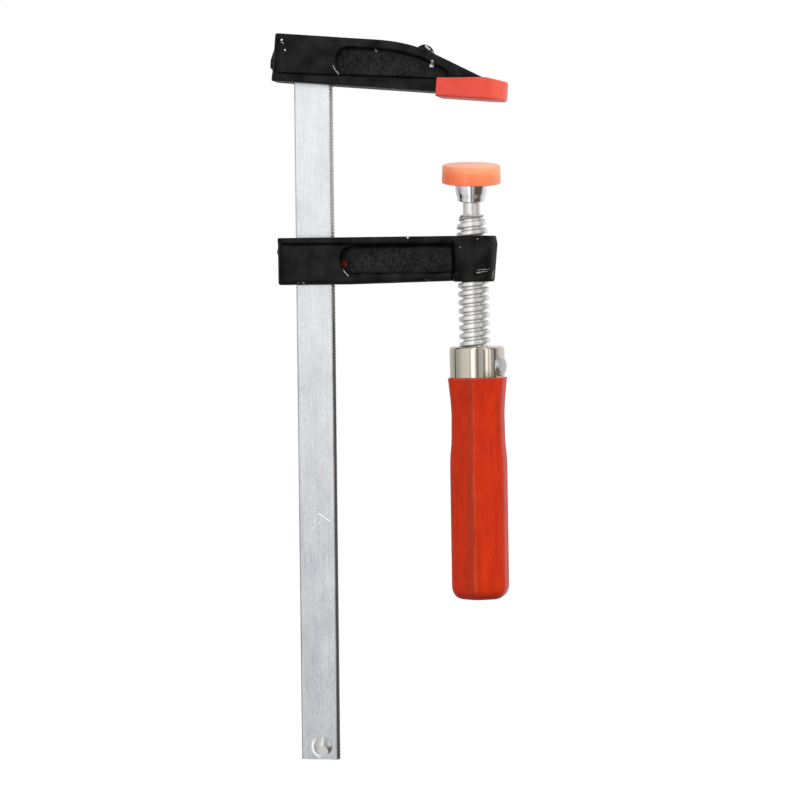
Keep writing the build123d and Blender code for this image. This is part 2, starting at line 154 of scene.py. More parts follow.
def tent_light():
    """World of the tent: pale walls, lamps beside the lens gap, dark seams and a dark shelf at the right."""
    world = bpy.data.worlds.new("light_tent")
    world.use_nodes = True
    tree = world.node_tree
    tree.nodes.clear()
    aim = Shade(tree).node("ShaderNodeTexCoord", {}, {}, "Generated")
    azimuth = aim.math("ARCTAN2", axis_of(aim, "X"), 0.0 - axis_of(aim, "Y")) / (2 * math.pi) + 0.5
    height = axis_of(aim, "Z") * 0.5 + 0.5
    walls = azimuth.ramp(*TENT_WALLS) * height.ramp(*TENT_RISE)
    shelf = azimuth.ramp(*SHELF_TURN) * height.ramp(*SHELF_RISE)
    tent = aim.node("ShaderNodeBackground", {}, {"Color": shelf.mix(walls, SHELF_BROWN)})
    paper = aim.node("ShaderNodeBackground", {}, {"Color": PAPER_WHITE})
    choice = aim.node("ShaderNodeMixShader", {}, {0: ray_is(tree, "Camera"), 1: tent, 2: paper})
    end = tree.nodes.new("ShaderNodeOutputWorld")
    tree.links.new(choice.socket, end.inputs["Surface"])
    bpy.context.scene.world = world


def soft_lamp(name, place, watts):
    """Large square lamp behind the tent's cloth, aimed at the clamp's middle. Metal shows only the cloth."""
    data = bpy.data.lights.new(name, "AREA")
    data.size = LAMP_WIDTH
    data.energy = watts
    lamp = bpy.data.objects.new(name, data)
    lamp.location = VIEW_CENTRE + Vector(place)
    lamp.rotation_euler = (-Vector(place)).to_track_quat("-Z", "Y").to_euler()
    lamp.visible_glossy = False
    bpy.context.collection.objects.link(lamp)


def finish(name, numbers):
    """New material whose plain numbers and colours sit on the shader's own sockets."""
    material = bpy.data.materials.new(name)
    material.use_nodes = True
    for socket, value in numbers.items():
        material.node_tree.nodes["Principled BSDF"].inputs[socket].default_value = value
    return material


def floor():
    """White floor below the handle's lowest reach, with a soft shadow. Light from under it still passes."""
    drop = sum(joint["range_m"][0] for joint in frame["joints"] if "range_m" in joint)
    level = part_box("handle")[0].z + drop - FLOOR_GAP
    corners = [(x * FLOOR_REACH, y * FLOOR_REACH, level) for x, y in ((-1, -1), (1, -1), (1, 1), (-1, 1))]
    mesh = bpy.data.meshes.new("floor")
    mesh.from_pydata(corners, [], [(0, 1, 2, 3)])
    material = finish("floor_white", {"Base Color": FLOOR_WHITE, "Roughness": 0.9, "Specular IOR Level": 0.0})
    tree = material.node_tree
    lit = (ray_is(tree, "Camera") + ray_is(tree, "Glossy")) * FLOOR_LIT
    matt = Shade(tree, tree.nodes["Principled BSDF"].outputs[0])
    paper = lit.node("ShaderNodeEmission", {}, {"Strength": FLOOR_GLOW})
    choice = lit.node("ShaderNodeMixShader", {}, {0: lit, 1: matt, 2: paper})
    tree.links.new(choice.socket, tree.nodes["Material Output"].inputs["Surface"])
    mesh.materials.append(material)
    plane = bpy.data.objects.new("floor", mesh)
    plane.visible_glossy = False
    plane.visible_diffuse = False
    bpy.context.collection.objects.link(plane)


tent_light()
floor()
soft_lamp("key_lamp", place=(1.05, -0.75, 0.5), watts=12.5)
soft_lamp("fill_lamp", place=(-1.0, -0.8, 0.7), watts=4.0)

lens = bpy.data.cameras.new("camera")
lens.sensor_width = SENSOR_WIDTH
lens.lens = SENSOR_WIDTH * VIEW_DISTANCE / VIEW_WIDTH
camera = bpy.data.objects.new("camera", lens)
level = Vector((math.sin(VIEW_AZIMUTH), -math.cos(VIEW_AZIMUTH), 0.0))
outward = level * math.cos(VIEW_ELEVATION) + Vector((0.0, 0.0, math.sin(VIEW_ELEVATION)))
camera.location = VIEW_CENTRE + outward * VIEW_DISTANCE
aim = (-outward).to_track_quat("-Z", "Y") @ Quaternion((0.0, 0.0, 1.0), VIEW_ROLL)
camera.rotation_mode = "QUATERNION"
camera.rotation_quaternion = aim
bpy.context.collection.objects.link(camera)
bpy.context.scene.camera = camera
bpy.context.scene.view_settings.view_transform = "Standard"

# Bar. Cold-drawn flat steel, zinc plated, with both narrow edges rolled into fine cross teeth that
# the arm bites on. Its top end is pressed into the fixed jaw.
BAR_TOOTH_PITCH = 1.15 * MM
BAR_TOOTH_DEPTH = 0.28 * MM
BAR_CORNER = 0.7 * MM
BAR_CORNER_STEPS = 6
BAR_CORNER_LEAD = 0.3 * MM
BAR_ZINC = (0.78, 0.80, 0.81, 1.0)
BAR_ZINC_DULL = (0.34, 0.35, 0.375, 1.0)
BAR_ZINC_RUBBED_AND_HIGHLIGHT = (0.98, 0.98, 0.97, 1.0)
BAR_TOOTH_PAINTED_SHADE = (0.025, 0.022, 0.02, 1.0)
BAR_TOOTH_ZINC = (0.58, 0.58, 0.57, 1.0)
# Runs on the bar's front as two (x, z) ends and a width, in millimetres.
BAR_SCRATCHES = [
    ((-56.7, -147.2), (-52.8, -149.9), 0.22), ((-56.6, -150.7), (-55.9, -149.6), 0.16),
    ((-59.5, -153.0), (-58.7, -152.1), 0.14), ((-58.5, -149.4), (-57.9, -151.2), 0.1),
]
SCRATCH_RAGGED = 2.4
SCRATCH_EDGE = 1.7
STOP_MIDDLE = sum(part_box("stop_rivet"), Vector()) / 2
STOP_HIGHLIGHT_REACH = 6.0 * MM


def plug(material, socket, shade):
    """Feeds a socket of the material's shader from a node."""
    shader = material.node_tree.nodes["Principled BSDF"]
    material.node_tree.links.new(shade.socket, shader.inputs[socket])


def spot(material, stretch=(1.0, 1.0, 1.0)):
    """Place on the piece, in metres in its own frame, stretched for streaks."""
    here = Shade(material.node_tree).node("ShaderNodeTexCoord", {}, {}, "Object")
    return here.node("ShaderNodeMapping", {}, {"Vector": here, "Scale": stretch})


def speckle(where, scale, detail=3.0):
    """Cloudy noise from nought to one, with scale in cycles a metre."""
    return where.node("ShaderNodeTexNoise", {}, {"Vector": where, "Scale": scale, "Detail": detail})


def relief(material, height, depth, strength):
    """Surface relief of a given depth from a noise."""
    sockets = {"Strength": strength, "Distance": depth, "Height": height}
    plug(material, "Normal", height.node("ShaderNodeBump", {}, sockets))


def fit(name, mesh, material, body, node, place=Matrix.Identity(4)):
    """Puts a finished mesh on the clamp, standing in its place, instead of its plain solid."""
    mesh.materials.clear()
    mesh.materials.append(material)
    piece = bpy.data.objects.new(name, mesh)
    piece.matrix_world = place
    bpy.context.collection.objects.link(piece)
    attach(piece, body)
    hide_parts(node)


def smooth(shape, name, sharp=35.0):
    """Mesh from a bmesh, shaded smooth except over edges sharper than the given angle."""
    bmesh.ops.recalc_face_normals(shape, faces=shape.faces)
    mesh = bpy.data.meshes.new(name)
    shape.to_mesh(mesh)
    shape.free()
    mesh.shade_smooth()
    mesh.set_sharp_from_angle(angle=math.radians(sharp))
    return mesh


def toothed_bar():
    """Bar section with rounded corners, repeated up the bar with its narrow sides in and out."""
    low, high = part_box("rail_bar")
    centre = (low + high) / 2
    half_width = (high.x - low.x) / 2
    half_thick = (high.y - low.y) / 2
    count = round((high.z - low.z) / BAR_TOOTH_PITCH)
    shape = bmesh.new()
    rings = []
    for level in range(2 * count + 1):
        height = low.z + (high.z - low.z) * level / (2 * count)
        inset = BAR_TOOTH_DEPTH * (level % 2)
        ring = []
        for corner in range(4):
            side_x = 1 if corner in (0, 3) else -1
            side_y = 1 if corner < 2 else -1
            for step in range(-1, BAR_CORNER_STEPS + 2):
                along = min(max(step, 0), BAR_CORNER_STEPS)
                lead = BAR_CORNER_LEAD * (step - along)
                turn = math.radians(90 * (corner + along / BAR_CORNER_STEPS))
                reach = BAR_CORNER - inset
                x = side_x * (half_width - BAR_CORNER) + reach * math.cos(turn) - lead * math.sin(turn)
                y = side_y * (half_thick - BAR_CORNER) + BAR_CORNER * math.sin(turn) + lead * math.cos(turn)
                ring.append(shape.verts.new((centre.x + x, centre.y + y, height)))
        rings.append(ring)
    for lower, upper in zip(rings, rings[1:]):
        for index in range(len(lower)):
            follow = (index + 1) % len(lower)
            shape.faces.new((lower[index], lower[follow], upper[follow], upper[index]))
    shape.faces.new(rings[0])
    shape.faces.new(rings[-1])
    return smooth(shape, "toothed_bar", sharp=25.0)


def on_side(where):
    """A place as it is seen square on to a piece's broad side."""
    return where.vector("MULTIPLY", where, (1.0, 0.0, 1.0))


def off_line(where, start, end):
    """Distance of a place on a piece's side from a straight run drawn on it, with ends in millimetres."""
    run = Vector((end[0] - start[0], 0.0, end[1] - start[1])) * MM
    foot = Vector((start[0], 0.0, start[1])) * MM
    offset = where.vector("SUBTRACT", on_side(where), foot)
    along = offset.vector("DOT_PRODUCT", offset, run, "Value")
    share = (along / run.length_squared).ramp((0.0, 0.0), (1.0, 1.0))
    nearest = share.node("ShaderNodeVectorMath", {"operation": "SCALE"}, {0: run, "Scale": share})
    return offset.vector("DISTANCE", offset, nearest, "Value")


def scratch(where, ragged, start, end, width):
    """Ragged bright line along a run on a piece's front, in millimetres."""
    front = axis_of(where, "Y") < 0.0
    return ((off_line(where, start, end) / (width * MM) + ragged * SCRATCH_RAGGED) < SCRATCH_EDGE) * front


def any_of(masks):
    """One where any of the masks is."""
    joined = masks[0]
    for mask in masks[1:]:
        joined = joined.math("MAXIMUM", joined, mask)
    return joined


def bar_zinc():
    """Bright zinc, clouded, mottled and specked, with faint draw lines; painted light pales it higher up, a
    painted highlight rings the stop, and painted shade darkens the teeth low down.
    """
    material = finish("bar_zinc", {"Metallic": 1.0})
    here = spot(material)
    low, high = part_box("rail_bar")
    height = (axis_of(here, "Z") - low.z) / (high.z - low.z)
    lines = speckle(spot(material, stretch=(1.0, 1.0, 0.03)), 2200.0)
    cloud = speckle(spot(material, stretch=(1.0, 1.0, 0.5)), 130.0, detail=6.0)
    mottle = speckle(spot(material, stretch=(1.0, 1.0, 0.6)), 1300.0)
    specks = speckle(spot(material), 2400.0, detail=2.0).ramp((0.63, 0.0), (0.7, 1.0))
    normal = Shade(material.node_tree).node("ShaderNodeTexCoord", {}, {}, "Normal")
    # The narrow sides, found by their facing, get painted shade: near black low down and paler higher up.
    edge = abs(axis_of(normal, "X")).ramp((0.55, 0.0), (0.9, 1.0))
    # Painted light: the zinc is paler higher up the bar.
    painted_light_up_bar = height.ramp((0.0, 0.0), (0.45, 0.16), (1.0, 0.3))
    wear_and_light = lines * 0.25 + cloud * 0.42 + mottle * 0.22 - specks * 0.15 + painted_light_up_bar
    zinc = wear_and_light.ramp((0.365, 0.0), (0.795, 1.0)).mix(BAR_ZINC_DULL, BAR_ZINC)
    # Painted highlight: a pale ring left of and below the stop, where the bar's face round it catches the
    # light.
    left = STOP_MIDDLE.x - axis_of(here, "X")
    below = STOP_MIDDLE.z - axis_of(here, "Z")
    around = left.math("SQRT", left * left + below * below) / STOP_HIGHLIGHT_REACH
    ring = around.ramp((0.54, 1.0), (0.6, 0.8), (0.76, 0.0))
    painted_highlight_ring = ring * ((left + below * 0.3) / STOP_HIGHLIGHT_REACH).ramp((0.22, 0.0), (0.5, 1.0))
    rubbed_and_highlight = any_of([scratch(here, mottle, *line) for line in BAR_SCRATCHES] + [painted_highlight_ring])
    tooth_shade = height.ramp((0.6, 0.0), (0.75, 1.0)).mix(BAR_TOOTH_PAINTED_SHADE, BAR_TOOTH_ZINC)
    plug(material, "Base Color", edge.mix(rubbed_and_highlight.mix(zinc, BAR_ZINC_RUBBED_AND_HIGHLIGHT), tooth_shade))
    plug(material, "Roughness", lines * 0.1 + cloud * 0.16 + edge * 0.2 + specks * 0.1 + 0.24)
    relief(material, lines * 0.4 + mottle * 0.3 + specks * 0.3, depth=0.03 * MM, strength=0.5)
    return material


fit("bar", toothed_bar(), bar_zinc(), "bar_and_jaw", "rail_bar")

# Stop. A rivet with a low round head on each face of the bar, close to its lower end, flattened aslant by
# the blow that closed it and plated with the bar.
STOP_ZINC = (0.60, 0.60, 0.595, 1.0)
STOP_RIM = 0.35 * MM
STOP_SLANT = math.radians(19.0)
STOP_FLATTENED = 0.42 * MM
TURNED_STEPS = 96
SAME_POINT = 1e-6


def eased(corners, steps=6):
    """Outline through (radius, height, easing) corners, each rounded to its own easing radius."""
    outline = []
    for index, (radius, height, easing) in enumerate(corners):
        corner = Vector((radius, height, 0.0))
        if easing == 0 or index in (0, len(corners) - 1):
            outline.append((radius, height))
            continue
        before = (Vector((*corners[index - 1][:2], 0.0)) - corner).normalized()
        after = (Vector((*corners[index + 1][:2], 0.0)) - corner).normalized()
        half = before.angle(after) / 2
        centre = corner + (before + after).normalized() * (easing / math.sin(half))
        start = corner + before * (easing / math.tan(half)) - centre
        end = corner + after * (easing / math.tan(half)) - centre
        for step in range(steps + 1):
            point = centre + start.lerp(end, step / steps).normalized() * easing
            outline.append((point.x, point.y))
    return outline


def turned(outline, swell=None, steps=TURNED_STEPS):
    """Turned shape from an open outline of (radius, height) points, closed where it meets the axis."""
    shape = bmesh.new()
    rings = []
    for radius, height in outline:
        if radius < SAME_POINT:
            rings.append([shape.verts.new((0.0, 0.0, height))])
            continue
        ring = []
        for step in range(steps):
            turn = 2 * math.pi * step / steps
            reach = radius * (swell(turn) if swell else 1.0)
            ring.append(shape.verts.new((reach * math.cos(turn), reach * math.sin(turn), height)))
        rings.append(ring)
    for lower, upper in zip(rings, rings[1:]):
        for step in range(steps):
            follow = (step + 1) % steps
            if len(lower) == 1:
                shape.faces.new((lower[0], upper[follow], upper[step]))
            elif len(upper) == 1:
                shape.faces.new((lower[step], lower[follow], upper[0]))
            else:
                shape.faces.new((lower[step], lower[follow], upper[follow], upper[step]))
    return shape


def dome(radius, foot, height, steps=10):
    """Outline of a round head, from its rim at the foot to its crown on the axis."""
    ball = (radius**2 + height**2) / (2 * height)
    sweep = math.asin(radius / ball)
    points = []
    for step in range(steps + 1):
        turn = sweep * (1 - step / steps)
        points.append((ball * math.sin(turn), foot + height - ball + ball * math.cos(turn)))
    return points


def rivet_outline(grip, shank, radius, height, rim):
    """Outline of a rivet from crown to crown, centred on its grip, with a low upright rim on its heads."""
    head = [(radius, grip / 2)] + dome(radius, grip / 2 + rim, height - rim)
    foot = [(r, -z) for r, z in reversed(head)]
    return foot + [(shank, -grip / 2), (shank, grip / 2)] + head


def stop_mesh():
    """Stop rivet from crown to crown, sized from its solid, with the lower half of its near head hit flat."""
    low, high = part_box("stop_rivet")
    bar_low, bar_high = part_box("rail_bar")
    grip = bar_high.y - bar_low.y
    radius = (high.x - low.x) / 2
    height = (high.y - low.y - grip) / 2
    shape = turned(rivet_outline(grip, radius / 2, radius, height, STOP_RIM))
    facing = Vector((0.0, -math.sin(STOP_SLANT), math.cos(STOP_SLANT)))
    reach = max(vertex.co.dot(facing) for vertex in shape.verts) - STOP_FLATTENED
    for vertex in shape.verts:
        vertex.co -= facing * max(0.0, vertex.co.dot(facing) - reach)
    return smooth(shape, "stop", sharp=12.0)


def stop_zinc():
    """Bright zinc with a few fine scuffs."""
    material = finish("stop_zinc", {"Metallic": 1.0, "Base Color": STOP_ZINC})
    scuff = speckle(spot(material), 900.0)
    plug(material, "Roughness", scuff * 0.16 + 0.22)
    relief(material, scuff, depth=0.03 * MM, strength=0.4)
    return material


stop_place = Matrix.Translation(STOP_MIDDLE) @ Matrix.Rotation(math.radians(90), 4, "X")
fit("stop", stop_mesh(), stop_zinc(), "bar_and_jaw", "stop_rivet", stop_place)

# Fixed jaw. A grey-iron sand casting, hollowed on both sides to a web, pressed on the bar and dipped in
# thin black paint. Its edges are soft, its hollows rough, and a few knocks show bare metal.
# Painted shade lines run beside its ribs, and painted highlights sit on some edges and hollow walls.
CAST_VOXEL = 0.3 * MM
CAST_EASE = 5
CAST_WAVE = 0.07 * MM
CAST_WAVE_LENGTH = 6.0 * MM
CAST_GRIT = 0.03 * MM
CAST_GRIT_LENGTH = 0.7 * MM
CAST_WEB_FACE = 4.4 * MM
CAST_BLACK = (0.0012, 0.0012, 0.0014, 1.0)
CAST_SPECK = (0.032, 0.0312, 0.0305, 1.0)
CAST_BARE_AND_GLINT = (0.80, 0.79, 0.77, 1.0)
CAST_PAINTED_SHADE = (0.0006, 0.0006, 0.0006, 1.0)
CAST_SMEAR = (0.085, 0.007, 0.007, 1.0)
CREASE_WIDTH = 0.75 * MM
CHIP_RAGGED = 1.4
CHIP_EDGE = 1.7
# Chips as (x, z, radius), scratches as two (x, z) ends and a width, all in millimetres; some of both are
# painted highlights. Creases are painted shade lines beside the ribs, as two (x, z) ends and a strength.
JAW_CHIPS_AND_GLINTS = [
    (-13.9, 12.3, 0.8), (-13.5, 13.2, 0.55), (-33.8, 17.9, 0.5), (-67.4, 22.2, 0.34), (-66.3, 18.6, 0.28),
    (-4.2, 12.3, 0.3), (-2.2, 11.5, 0.3), (0.2, 10.5, 0.28), (1.6, 9.9, 0.3),
]
JAW_SCRATCHES_AND_GLINTS = [
    ((-48.9, 12.7), (-48.4, 11.4), 0.11), ((-48.4, 11.4), (-47.0, 9.7), 0.15),
    ((-16.3, 19.2), (-14.6, 17.7), 0.45), ((-14.2, 17.2), (-12.6, 16.4), 0.22),
    ((-67.6, 21.4), (-66.9, 21.0), 0.16),
]
JAW_CREASES = [
    ((-68.3, 22.6), (-68.9, 10.5), 0.35), ((-69.3, 22.6), (-69.9, 10.5), 0.5),
    ((-68.9, 10.5), (-12.4, 7.4), 0.95), ((-12.4, 7.4), (-4.0, 6.6), 0.9),
]


def eased_skin(node, voxel, rounds):
    """Copy of a piece's solid on a fine grid with its edges worn round."""
    blank = bpy.data.objects.new("blank", frame["nodes"][node].data.copy())
    bpy.context.collection.objects.link(blank)
    grid = blank.modifiers.new("grid", "REMESH")
    grid.mode = "VOXEL"
    grid.voxel_size = voxel
    ease = blank.modifiers.new("ease", "SMOOTH")
    ease.factor = 0.5
    ease.iterations = rounds
    skin = bpy.data.meshes.new_from_object(blank.evaluated_get(bpy.context.evaluated_depsgraph_get()))
    bpy.data.objects.remove(blank)
    skin.shade_smooth()
    return skin


def cast_skin(node):
    """Casting with soft edges and slightly uneven faces, never proud of its solid."""
    skin = eased_skin(node, CAST_VOXEL, CAST_EASE)
    moved = []
    for vertex in skin.vertices:
        wave = noise.noise(vertex.co / CAST_WAVE_LENGTH) - 1.0
        grit = noise.noise(vertex.co / CAST_GRIT_LENGTH) - 1.0
        moved.extend(vertex.co + vertex.normal * (0.5 * CAST_WAVE * wave + 0.5 * CAST_GRIT * grit))
    skin.vertices.foreach_set("co", moved)
    return skin


def crease(where, ragged, start, end, strength):
    """Soft painted shade line along a run on the casting's sides."""
    return (off_line(where, start, end) / CREASE_WIDTH + ragged * 0.5).ramp((0.35, strength), (1.0, 0.0))


def near(where, ragged, x, z, radius):
    """A ragged patch round a place on the casting's front, in millimetres."""
    offset = where.vector("DISTANCE", on_side(where), Vector((x, 0.0, z)) * MM, "Value")
    front = axis_of(where, "Y") < 0.0
    return ((offset + ragged * (CHIP_RAGGED * radius * MM)) < (CHIP_EDGE * radius * MM)) * front


def cast_paint(name, chips_and_glints, scratches_and_glints, creases, smears):
    """Black paint over sand-cast iron: grainy in the hollows, with painted shade in the creases, bare on
    knocked edges, and with painted highlights on some edges.
    """
    material = finish(name, {"Specular IOR Level": 0.1})
    here = spot(material)
    grain = speckle(spot(material, stretch=(1.0, 1.0, 0.45)), 3000.0, detail=2.0)
    patch = speckle(here, 160.0, detail=4.0)
    ragged = speckle(here, 1900.0, detail=2.0)
    hollow = abs(axis_of(here, "Y")) < CAST_WEB_FACE
    rough = hollow * 0.45
    specks = (patch + (grain - patch) * (rough + 0.25)).ramp((0.4, 0.0), (0.64, 1.0)) * (rough + 0.45)
    corner = Shade(material.node_tree).node("ShaderNodeNewGeometry", {}, {}, "Pointiness")
    # Bare metal and painted highlights: pale specks on sharp edges, and the listed chips and scratches, some
    # of them glints on edges and hollow walls.
    worn_and_glint = corner.ramp((0.53, 0.0), (0.6, 1.0)) * ragged.ramp((0.6, 0.0), (0.68, 1.0))
    knocks_and_glints = [near(here, ragged, *mark) for mark in chips_and_glints]
    knocks_and_glints += [scratch(here, ragged, *line) for line in scratches_and_glints]
    bare_and_glint = any_of(knocks_and_glints + [worn_and_glint])
    # Painted shade: near-black lines along the creases beside the ribs and down the boss.
    painted_shade = any_of([crease(here, ragged, *line) for line in creases])
    paint = specks.mix(CAST_BLACK, CAST_SPECK)
    for smear in smears:
        paint = near(here, ragged, *smear).mix(paint, CAST_SMEAR)
    plug(material, "Base Color", bare_and_glint.mix(painted_shade.mix(paint, CAST_PAINTED_SHADE), CAST_BARE_AND_GLINT))
    # Metal on the painted shade lines takes their reflection away; on bare spots and painted highlights it
    # makes them metal.
    plug(material, "Metallic", any_of([bare_and_glint, painted_shade]))
    plug(material, "Roughness", patch * 0.14 + grain * 0.16 + hollow * 0.12 + 0.26)
    relief(material, grain * (hollow * 0.6 + 0.25) + patch * 0.4, depth=0.1 * MM, strength=0.8)
    return material


jaw_paint = cast_paint("jaw_paint", JAW_CHIPS_AND_GLINTS, JAW_SCRATCHES_AND_GLINTS, JAW_CREASES, [])
fit("fixed_jaw_cast", cast_skin("fixed_jaw"), jaw_paint, "bar_and_jaw", "fixed_jaw")

# Jaw cap. A soft coral-red plastic channel, closed at its end, pushed over the jaw's tip so that the jaw
# doesn't mark the work. Its edges are moulded round.
CAP_RED = (0.75, 0.075, 0.044, 1.0)
CAP_RED_DEEP = (0.65, 0.052, 0.03, 1.0)
CAP_RED_PAINTED_LIGHT = (0.88, 0.14, 0.09, 1.0)
CAP_VOXEL = 0.22 * MM
CAP_EASE = 6


def cap_plastic():
    """Satin plastic, a little see-through, with faint flow marks, and painted light paling its closed end."""
    numbers = {"Subsurface Weight": 0.25, "Subsurface Scale": 1.5 * MM, "Specular IOR Level": 0.4}
    material = finish("cap_plastic", numbers)
    flow = speckle(spot(material, stretch=(0.3, 1.0, 1.0)), 300.0)
    grain = speckle(spot(material), 2500.0)
    low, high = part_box("fixed_jaw_cap")
    end = (high.x - axis_of(spot(material), "X")) / (high.x - low.x)
    red = flow.ramp((0.3, 0.0), (0.7, 1.0)).mix(CAP_RED_DEEP, CAP_RED)
    # Painted light: the cap is paler towards its closed end.
    plug(material, "Base Color", end.ramp((0.08, 0.8), (0.24, 0.0)).mix(red, CAP_RED_PAINTED_LIGHT))
    plug(material, "Roughness", flow * 0.12 + grain * 0.1 + 0.34)
    relief(material, grain, depth=0.02 * MM, strength=0.5)
    return material


cap_skin = eased_skin("fixed_jaw_cap", CAP_VOXEL, CAP_EASE)
fit("jaw_cap", cap_skin, cap_plastic(), "bar_and_jaw", "fixed_jaw_cap")

# Sliding arm. The second black casting, a web between a clamping flange and a lower rib, with a slot that
# rides on the bar and a tapered boss that is threaded for the screw.
# Given as for the fixed jaw. A smear of red, like a chip, is (x, z, radius).
ARM_CHIPS = [(-22.6, -48.7, 0.3), (2.4, -49.4, 0.18)]
ARM_SCRATCHES_AND_GLINTS = [
    ((-46.2, -59.4), (-45.6, -60.6), 0.11), ((-45.6, -60.6), (-44.3, -62.0), 0.15),
    ((2.4, -60.5), (3.6, -60.3), 0.16), ((3.9, -60.35), (6.0, -60.2), 0.2), ((2.0, -61.4), (3.0, -61.3), 0.3),
    ((3.0, -61.2), (5.6, -60.9), 0.16), ((7.3, -60.4), (7.0, -63.4), 0.08),
]
ARM_CREASES = [
    ((-67.6, -50.0), (-67.7, -64.6), 0.3), ((-68.6, -50.0), (-68.7, -64.6), 0.5),
    ((-67.3, -50.6), (-7.6, -51.2), 0.9), ((-7.2, -50.6), (-7.0, -63.6), 0.9),
    ((-6.4, -50.6), (-6.2, -63.6), 0.7),
]
ARM_SMEARS = [(-45.8, -57.8, 0.7), (-46.3, -57.0, 0.4)]
arm_paint = cast_paint("arm_paint", ARM_CHIPS, ARM_SCRATCHES_AND_GLINTS, ARM_CREASES, ARM_SMEARS)
fit("sliding_arm_cast", cast_skin("sliding_arm"), arm_paint, "arm", "sliding_arm")

# Screw. A steel spindle with a coarse rolled trapezoidal thread, zinc plated, turned down to a neck and a
# ball above and riveted into the handle below. It leans a little, and its heights run from the ball's centre.
THREAD_PITCH = 3.0 * MM
THREAD_CREST = 5.5 * MM
THREAD_ROOT = 4.1 * MM
THREAD_TOP = -8.5 * MM
THREAD_FOOT = -57.6 * MM
THREAD_RUN_OUT = 0.32
THREAD_PHASE = 0.74 * MM
THREAD_STEPS = 64
THREAD_TUCKED = 0.95 * THREAD_ROOT
# One turn of the thread: millimetres along the screw from the crest's middle, and the share of full height.
THREAD_FORM = [
    (-1.5, 0.0), (-1.22, 0.0), (-1.1, 0.02), (-1.0, 0.1), (-0.76, 0.88), (-0.68, 0.97), (-0.56, 1.0),
    (-0.46, 1.0), (0.46, 1.0), (0.56, 1.0), (0.68, 0.97), (0.76, 0.88), (1.0, 0.1), (1.1, 0.02), (1.22, 0.0),
]
CORE_RADIUS = 0.98 * THREAD_ROOT
CORE_TOP = THREAD_TOP - 1.6 * MM
NECK_RADIUS = 3.1 * MM
NECK_TOP = -3.1 * MM
TANG_FOOT = -96.5 * MM
SCREW_ZINC = (0.93, 0.93, 0.92, 1.0)
SCREW_GREY = (0.86, 0.85, 0.83, 1.0)
SCREW_DIRT_AND_SHADE = (0.10, 0.095, 0.09, 1.0)
screw_joint = next(joint for joint in frame["joints"] if joint["name"] == "spindle_turn")
screw_lean = Vector((0.0, 0.0, 1.0)).rotation_difference(Vector(screw_joint["axis"]))
SCREW_PLACE = Matrix.Translation(screw_joint["pos_m"]) @ screw_lean.to_matrix().to_4x4()


def screw_mesh():
    """Thread form wound up the core as rows along the helix, over a plain core with the neck and tang."""
    core = eased(
        [
            (0.0, TANG_FOOT, 0), (CORE_RADIUS, TANG_FOOT, 0), (CORE_RADIUS, CORE_TOP, 0.3 * MM),
            (NECK_RADIUS, THREAD_TOP, 0.4 * MM), (NECK_RADIUS, NECK_TOP, 0), (0.0, NECK_TOP, 0),
        ]
    )
    shape = turned(core)
    first = math.floor((THREAD_FOOT - THREAD_PHASE) / THREAD_PITCH) - 1
    last = math.ceil((THREAD_TOP - THREAD_PHASE) / THREAD_PITCH) + 1
    rows = []
    for turn in range(first, last):
        for along, lift in THREAD_FORM:
            row = []
            for step in range(THREAD_STEPS):
                angle = 2 * math.pi * step / THREAD_STEPS
                height = THREAD_PHASE + THREAD_PITCH * (turn + step / THREAD_STEPS) + along * MM
                radius = THREAD_ROOT + (THREAD_CREST - THREAD_ROOT) * lift
                radius = min(radius, THREAD_ROOT + max(0.0, THREAD_TOP - height) * THREAD_RUN_OUT)
                if not THREAD_FOOT <= height <= THREAD_TOP:
                    height = min(max(height, THREAD_FOOT), THREAD_TOP)
                    radius = THREAD_TUCKED
                row.append(shape.verts.new((radius * math.cos(angle), radius * math.sin(angle), height)))
            rows.append(row)
    # After a full turn, a row goes on as the row that starts one turn higher.
    wound = [row + above[:1] for row, above in zip(rows, rows[len(THREAD_FORM):])]
    for lower, upper in zip(wound, wound[1:]):
        for step in range(THREAD_STEPS):
            shape.faces.new((lower[step], lower[step + 1], upper[step + 1], upper[step]))
    bmesh.ops.dissolve_degenerate(shape, dist=SAME_POINT, edges=shape.edges)
    loose = [vertex for vertex in shape.verts if not vertex.link_faces]
    bmesh.ops.delete(shape, geom=loose, context="VERTS")
    return smooth(shape, "screw", sharp=50.0)


def screw_zinc():
    """Zinc on a rolled thread, stained grey and scuffed, with dirt and painted shade where a flank meets the
    root.
    """
    material = finish("screw_zinc", {"Metallic": 1.0})
    here = spot(material)
    flat = here.vector("MULTIPLY", here, (1.0, 1.0, 0.0))
    radius = flat.vector("LENGTH", flat, output="Value")
    stain = speckle(here, 700.0)
    scuff = speckle(here, 2600.0)
    threaded = axis_of(here, "Z") < THREAD_TOP
    depth = ((radius - THREAD_ROOT) / (THREAD_CREST - THREAD_ROOT) + stain * 0.3 - 0.15) * threaded
    # Dirt and painted shade: a dark band where each flank meets the root, standing in for the shadow under
    # the crest.
    dirt_and_shade = depth.ramp((0.05, 0.0), (0.16, 0.7), (0.34, 0.45), (0.55, 0.0))
    zinc = (stain * 0.7 + scuff * 0.3).ramp((0.35, 0.0), (0.62, 1.0)).mix(SCREW_GREY, SCREW_ZINC)
    plug(material, "Base Color", dirt_and_shade.mix(zinc, SCREW_DIRT_AND_SHADE))
    plug(material, "Roughness", dirt_and_shade * 0.3 + stain * 0.14 + scuff * 0.1 + 0.32 - threaded * 0.04)
    relief(material, stain * 0.6 + scuff * 0.4, depth=0.05 * MM, strength=0.5)
    return material


screw_finish = screw_zinc()
fit("screw", screw_mesh(), screw_finish, "screw", "spindle", SCREW_PLACE)
ball = frame["nodes"]["spindle_ball"]
ball.data.materials.clear()
ball.data.materials.append(screw_finish)

